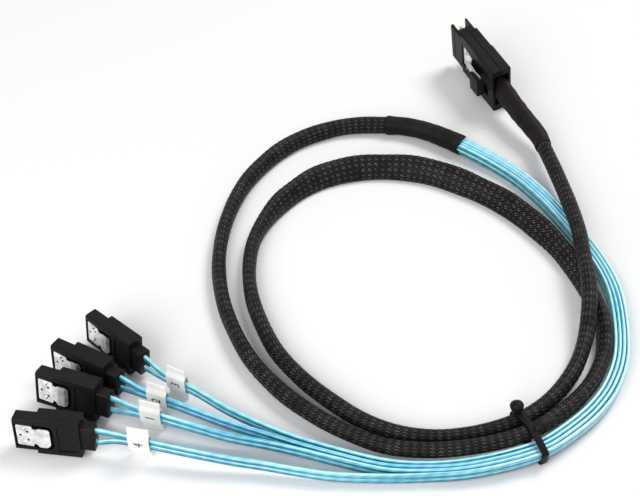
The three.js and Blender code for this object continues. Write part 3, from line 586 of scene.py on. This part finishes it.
def bundle_route(column, row):
    route = np.array(BUNDLE_ROUTE, float)
    padded = np.vstack([2 * route[0] - route[1], route, 2 * route[-1] - route[-2]])
    direction = padded[2:] - padded[:-2]
    outwards = unit(np.column_stack([-direction[:, 1], direction[:, 0], np.zeros(len(route))]))
    return route + outwards * column * COLUMN_PITCH + UP * row * ROW_PITCH / 2


def twin_route(number, row):
    plug = PLUGS[number]
    fan = np.array(FAN_ROUTES[number], float) + UP * row * ROW_PITCH / 2
    tail = [
        on_plug(plug, (SMALL_LENGTH + STRAIGHT_AT_PLUG, RELIEF_MIDDLE, row * ROW_PITCH / 2)),
        on_plug(plug, (SMALL_LENGTH + 1, RELIEF_MIDDLE, row * PLUG_ROW_SPREAD / 2)),
        on_plug(plug, (SMALL_LENGTH - SOCKET_DEPTH + GAP, RELIEF_MIDDLE, row * PLUG_ROW_SPREAD / 2)),
    ]
    return np.vstack([bundle_route(plug["column"], row), fan, tail])


def twin_cable(number, row):
    name = f"twin_cable_{number}_{'lower' if row < 0 else 'upper'}"
    centres, places = evenly(smooth_route(twin_route(number, row)), TWIN_STEP)
    _, side, rise = upright_frames(centres)
    across, high = twin_section()
    rings = rings_round(centres, across, side, high, rise)
    piece = dress(loft(f"{name}_jacket", rings, places), JACKETS[number])
    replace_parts(piece, name)
    return rings


twin_rings = [twin_cable(number, row) for number in PLUGS for row in (-1, 1)]

# Tie: a strap drawn tight round the two runs of the sleeve and the cables, with a round knob
TIE_PLACE = np.array([66.4, -86.3, 0])
TIE_HEADING = 205
TIE_REACH = 16
TIE_CLEARANCE = 0.3
STRAP_WIDTH = 2.5
STRAP_THICKNESS = 0.75
STRAP_TURNS = 96
STRIP_SIDES = 12
STRIP_SQUARENESS = (0.35, 0.7)
# The knob's outline, from its foot: height above the strap, and radius.
KNOB_PROFILE = [
    (-0.5, 1.6), (0.1, 1.3), (0.6, 1.6), (1.3, 2.1), (2.5, 2.3), (3.3, 1.9), (3.8, 1.1), (4.0, 0.3),
]
KNOB_SIDES = 24
# The tail's middle line, from the strap: how far on, how far above it, and half its width.
TAIL_PROFILE = [(0.5, 0.1, 1.1), (3, 0.5, 1.1), (6, 0.7, 0.9), (8.6, 0.5, 0.5), (9.8, 0.4, 0.15)]
TAIL_THICKNESS = 0.6
# Where they stand on the strap, in degrees up from its outer side
KNOB_AT = 112
TAIL_AT = 72


def tied_points(along, across):
    """Outlines of what the tie holds, in its plane: how far outwards, and how high."""
    found = []
    for rings in [sleeve_rings, *twin_rings]:
        offset = rings.mean(axis=1) - TIE_PLACE
        depth = offset @ along
        near = (np.abs(offset @ across) < TIE_REACH) & (np.abs(depth) < TIE_REACH)
        for i in np.flatnonzero(near[1:] & (depth[1:] * depth[:-1] <= 0)):
            ring = rings[i] - TIE_PLACE
            found.append(np.column_stack([ring @ across, ring @ UP]))
    return np.vstack(found)


def rolled_section(width, thickness):
    """A thin strip's section with rounded edges."""
    turn = 2 * np.pi * np.arange(STRIP_SIDES) / STRIP_SIDES
    flat, full = STRIP_SQUARENESS
    return width / 2 * swollen(np.cos(turn), flat), thickness / 2 * swollen(np.sin(turn), full)


def tie():
    heading = math.radians(TIE_HEADING)
    along = np.array([math.cos(heading), math.sin(heading), 0])
    across = np.array([-along[1], along[0], 0])
    held = tied_points(along, across)

    def surface(angle):
        """The strap's middle at an angle from outwards, and the direction away from the cables."""
        away = np.array([math.cos(angle), math.sin(angle)])
        corner = held[np.argmax(held @ away)] + away * (TIE_CLEARANCE + STRAP_THICKNESS / 2)
        outwards = across * away[0] + UP * away[1]
        return TIE_PLACE + across * corner[0] + UP * corner[1], outwards

    wide, thick = rolled_section(STRAP_WIDTH, STRAP_THICKNESS)
    rings = []
    for i in range(STRAP_TURNS):
        place, outwards = surface(2 * math.pi * i / STRAP_TURNS)
        rings.append(place + wide[:, None] * along + thick[:, None] * outwards)
    corners = np.arange(STRAP_TURNS * STRIP_SIDES).reshape(STRAP_TURNS, STRIP_SIDES)
    after, beside = np.roll(corners, -1, axis=0), np.roll(corners, -1, axis=1)
    quads = np.stack([corners, beside, np.roll(beside, -1, axis=0), after], -1).reshape(-1, 4)
    strap = make_mesh("tie_strap", np.vstack(rings), quads.tolist())
    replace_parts(dress(strap, PLASTIC), "cable_tie")

    place, outwards = surface(math.radians(KNOB_AT))
    tangent = np.cross(outwards, along)
    turn = 2 * np.pi * np.arange(KNOB_SIDES) / KNOB_SIDES
    circle = np.cos(turn)[:, None] * along + np.sin(turn)[:, None] * tangent
    rings = np.array([place + outwards * height + circle * radius for height, radius in KNOB_PROFILE])
    dress(loft("tie_knob", rings, np.arange(len(rings))), PLASTIC)

    place, outwards = surface(math.radians(TAIL_AT))
    tangent = np.cross(outwards, along)
    rings = []
    for on, above, half in TAIL_PROFILE:
        wide, thick = rolled_section(2 * half, TAIL_THICKNESS)
        middle = place - along * on + outwards * (STRAP_THICKNESS / 2 + above)
        rings.append(middle + wide[:, None] * tangent + thick[:, None] * outwards)
    dress(loft("tie_tail", np.array(rings), np.arange(len(rings))), PLASTIC)


tie()

# Collars: the thicker last ring of each small plug's strain relief
COLLAR_END = 25.75
COLLAR_LENGTH = 1.0
COLLAR_WIDTH = 9.9
COLLAR_THICKNESS = 4.9
COLLAR_EDGE = 0.35
COLLAR_SIDES = 32
COLLAR_SQUARENESS = 0.4


def collar(number):
    turn = 2 * np.pi * np.arange(COLLAR_SIDES) / COLLAR_SIDES
    wide = COLLAR_WIDTH / 2 * swollen(np.sin(turn), COLLAR_SQUARENESS)
    thick = COLLAR_THICKNESS / 2 * swollen(np.cos(turn), COLLAR_SQUARENESS)
    start = COLLAR_END - COLLAR_LENGTH
    full = (start + COLLAR_EDGE, COLLAR_END - COLLAR_EDGE)
    rings = []
    for x in (start, *full, COLLAR_END):
        scale = 1 if x in full else 1 - COLLAR_EDGE / COLLAR_THICKNESS
        points = [(x, RELIEF_MIDDLE + t * scale, w * scale) for t, w in zip(thick, wide)]
        rings.append([on_plug(PLUGS[number], point) for point in points])
    dress(loft(f"sata_{number}_collar", np.array(rings), np.arange(4)), PLASTIC)


for number in PLUGS:
    collar(number)

# Gold on the card's contact pads: a thin plate over each pad of the CAD card
PADS_PER_SIDE = 18
PAD_PITCH = 0.8
PAD_WIDTH = 0.54
PAD_ENDS = (1.98, 5.62)
PAD_HEIGHTS = (0.45, 0.6)
BOX_FACES = [(0, 1, 3, 2), (4, 6, 7, 5), (0, 4, 5, 1), (2, 3, 7, 6), (0, 2, 6, 4), (1, 5, 7, 3)]


def card_pads():
    corners = []
    faces = []
    for side in (-1, 1):
        for i in range(PADS_PER_SIDE):
            z = (i - (PADS_PER_SIDE - 1) / 2) * PAD_PITCH
            first = len(corners)
            for x in PAD_ENDS:
                for y in PAD_HEIGHTS:
                    for edge in (-PAD_WIDTH / 2, PAD_WIDTH / 2):
                        corners.append(on_plug(WIDE_PLUG, (x, y * side, z + edge)))
            for face in BOX_FACES:
                faces.append([first + k for k in (face if side > 0 else face[::-1])])
    dress(make_mesh("card_pads", corners, faces, smooth=False), GOLD)


card_pads()

# Shrink tubes
SHRINK_SIDES = 40
SHRINK_STEP = 0.5
SWELL = 0.09
WAVES = 14
# A tube that lies on the table is flat there: no point is lower than this.
LEAST_HEIGHT = 0.03
# The last rings of an open end are torn. The wall behind it lies at a share of the radius.
TORN_RINGS = 4
INNER_SHARE = 0.88
INNER_DEPTHS = (0.0, 1.5, 3.0, 4.5)
# The boot starts this far inside the wide plug, and runs straight until this far behind it.
BOOT_INSIDE = 2.6
BOOT_STRAIGHT = 2
# Rows of the share of the route, the tube's width and its height
BOOT_SIZES = [(0, 6.2, 11.6), (0.15, 6.4, 11.4), (0.5, 6.9, 9.2), (0.85, 7.0, 8.0), (1, 6.3, 7.4)]
SPLIT_SIZES = [
    (0, 6.9, 7.6), (0.02, 7.4, 8.1), (0.05, 7.4, 8.1), (0.09, 6.9, 7.6), (0.5, 7.0, 7.6), (1, 7.6, 8.2),
]


def wrinkles(places, turn, seed):
    """Soft uneven waves for a shrunk tube, as a fraction of its radius."""
    rng = np.random.default_rng(seed)
    total = np.zeros((len(places), len(turn)))
    for _ in range(WAVES):
        length = rng.uniform(2.5, 9)
        lobes = rng.integers(1, 6)
        phase = rng.uniform(0, 2 * np.pi, 2)
        lobe_angle = lobes * 2 * np.pi * turn[None, :]
        wave = np.sin(2 * np.pi * places[:, None] / length + phase[0] + lobe_angle)
        total += wave * np.cos(lobe_angle + phase[1]) / WAVES
    return total


def shrink_tube_piece(name, route, sizes, lean, seed, open_end):
    """A wrinkled tube along a route, with the given sizes and its height leaning outwards."""
    centres, places = evenly(smooth_route(route), SHRINK_STEP)
    along, side, rise = upright_frames(centres)
    share, widths, heights = np.array(sizes, float).T
    half_wide = np.interp(places / places[-1], share, widths) / 2
    half_high = np.interp(places / places[-1], share, heights) / 2
    turn = np.arange(SHRINK_SIDES) / SHRINK_SIDES
    angle = 2 * np.pi * turn
    lean = math.radians(lean)
    high_way = rise * math.cos(lean) + side * math.sin(lean)
    wide_way = side * math.cos(lean) - rise * math.sin(lean)
    swell = 1 + SWELL * wrinkles(places, turn, seed)
    wide = half_wide[:, None] * swell * np.cos(angle)
    high = half_high[:, None] * swell * np.sin(angle)
    rings = rings_round(centres, wide, wide_way, high, high_way)
    if open_end:
        # The wall goes out to an uneven edge, then back inside, and is closed there.
        torn = 0.5 * np.sin(3 * angle + 1) + 0.35 * np.sin(7 * angle) + 0.25 * np.sin(13 * angle + 2)
        for back in range(1, TORN_RINGS + 1):
            rings[-back] += along[-1] * (torn * (TORN_RINGS + 1 - back) / TORN_RINGS)[:, None]
        inner = []
        for depth in INNER_DEPTHS:
            index = len(centres) - 1 - round(depth / SHRINK_STEP)
            core = centres[index]
            inner.append(core + (rings[index] - core) * INNER_SHARE)
        rings = np.concatenate([rings, np.array(inner)])
        places = np.concatenate([places, places[-1] + np.array([0.2, *INNER_DEPTHS[1:]])])
    rings[..., 2] = np.maximum(rings[..., 2], LEAST_HEIGHT)
    return dress(loft(name, rings, places), SHRINK)


def shrink_pieces():
    start = on_plug(WIDE_PLUG, (WIDE_LENGTH - BOOT_INSIDE, 0, 0))
    behind = on_plug(WIDE_PLUG, (WIDE_LENGTH + BOOT_STRAIGHT, 0, 0))
    route = [start, behind, *BOOT_ROUTE, SLEEVE_ROUTE[0]]
    boot = shrink_tube_piece("boot_skin", route, BOOT_SIZES, lean=0, seed=4, open_end=False)
    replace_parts(boot, "mini_sas_boot")
    split = shrink_tube_piece(
        "split_shrink_skin", SHRINK_ROUTE, SPLIT_SIZES, lean=25, seed=9, open_end=True
    )
    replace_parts(split, "split_heat_shrink")


shrink_pieces()

# Digits on the labels, one on each face
LABEL_HALF_THICKNESS = 1.3
DIGIT_SIZE = 4.6
DIGIT_THICKNESS = 0.02


def label_digits(number):
    low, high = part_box(f"sata_{number}_label")
    centre = (low + high) / 2
    route = twin_route(number, 1)
    direction = unit((route[-3] - route[-4]) * (1, 1, 0))
    across = np.cross(UP, direction)
    for facing in (-1, 1):
        text = bpy.data.curves.new(f"digit_{number}", "FONT")
        text.body = str(number)
        text.size = DIGIT_SIZE * MM
        text.extrude = DIGIT_THICKNESS * MM
        text.align_x = "CENTER"
        text.align_y = "CENTER"
        holder = bpy.data.objects.new("digit_text", text)
        bpy.context.collection.objects.link(holder)
        graph = bpy.context.evaluated_depsgraph_get()
        mesh = bpy.data.meshes.new_from_object(holder.evaluated_get(graph))
        bpy.data.objects.remove(holder)
        outwards = Vector(across * facing)
        up_way = Vector(direction)
        turn = Matrix((up_way.cross(outwards), up_way, outwards)).transposed()
        place = centre + outwards * LABEL_HALF_THICKNESS * MM
        mesh.transform(Matrix.Translation(place) @ turn.to_4x4())
        side = "far" if facing < 0 else "near"
        digit = bpy.data.objects.new(f"label_{number}_digit_{side}", mesh)
        bpy.context.collection.objects.link(digit)
        dress(digit, INK)


for number in PLUGS:
    label_digits(number)

# CAD nodes that stay: the end of their names, their material and the width of softened edges
NODE_LOOKS = [
    ("latch_side_shell", PLASTIC, 0.16), ("plain_side_shell", PLASTIC, 0.16), ("thumb_button", PLASTIC, 0.2),
    ("nose_housing", PLASTIC, 0.1), ("overmold", PLASTIC, 0.16), ("contact_wafer", GOLD, 0),
    ("paddle_card", BOARD, 0), ("wire_clamp", RESIN, 0), ("latch", STEEL, 0.05), ("label", PAPER, 0),
]
# Edges sharper than this many degrees are softened.
SHARP_EDGE = 35


def soften(piece, width):
    edge = piece.modifiers.new("edges", "BEVEL")
    edge.width = width * MM
    edge.segments = 2
    edge.limit_method = "ANGLE"
    edge.angle_limit = math.radians(SHARP_EDGE)
    edge.harden_normals = True


for name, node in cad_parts.items():
    for ending, look, width in NODE_LOOKS:
        if name.endswith(ending):
            node.data.materials.clear()
            node.data.materials.append(look)
            if width:
                soften(node, width)

# Floor, background and lights, in metres and watts
FLOOR_HALF = 3.0
FLOOR_COLOR = (0.915, 0.93, 0.955)
WORLD_COLOR = (0.97, 0.985, 1, 1)
WORLD_LIGHT = 0.36
KEY_COLOR = (1, 0.95, 0.89)
FILL_COLOR = (1, 0.97, 0.94)


def floor():
    mesh = bpy.data.meshes.new("floor")
    square = [(-1, -1), (1, -1), (1, 1), (-1, 1)]
    mesh.from_pydata([(x * FLOOR_HALF, y * FLOOR_HALF, 0) for x, y in square], [], [(0, 1, 2, 3)])
    piece = bpy.data.objects.new("floor", mesh)
    bpy.context.collection.objects.link(piece)
    mesh.materials.append(material("floor_white", FLOOR_COLOR, 0.9, Specular_IOR_Level=0.1))


def area_light(name, place, size, power, color):
    """A square lamp aimed at the middle of the part."""
    data = bpy.data.lights.new(name, "AREA")
    data.color = color
    data.shape = "SQUARE"
    data.size = size
    data.energy = power
    light = bpy.data.objects.new(name, data)
    light.location = place
    light.rotation_euler = (-Vector(place)).to_track_quat("-Z", "Y").to_euler()
    bpy.context.collection.objects.link(light)


def studio_world():
    """Soft light all round, and a white background where it is seen or mirrored."""
    world = bpy.data.worlds.new("studio")
    bpy.context.scene.world = world
    world.use_nodes = True
    background = world.node_tree.nodes["Background"]
    background.inputs["Color"].default_value = WORLD_COLOR
    rays = add_node(world, "LightPath").outputs
    seen = calc(world, "ADD", rays["Is Camera Ray"], rays["Is Glossy Ray"])
    seen = calc(world, "ADD", seen, rays["Is Transmission Ray"])
    strength = add_node(world, "MapRange", {"Value": seen, "To Min": WORLD_LIGHT, "To Max": 1.0})
    world.node_tree.links.new(strength.outputs["Result"], background.inputs["Strength"])


floor()
area_light("key", (0.6, 0.55, 1.1), size=0.55, power=10.2, color=KEY_COLOR)
area_light("fill", (-0.4, -0.65, 0.6), size=0.7, power=6.2, color=FILL_COLOR)
studio_world()

bpy.context.scene.view_settings.view_transform = "Standard"
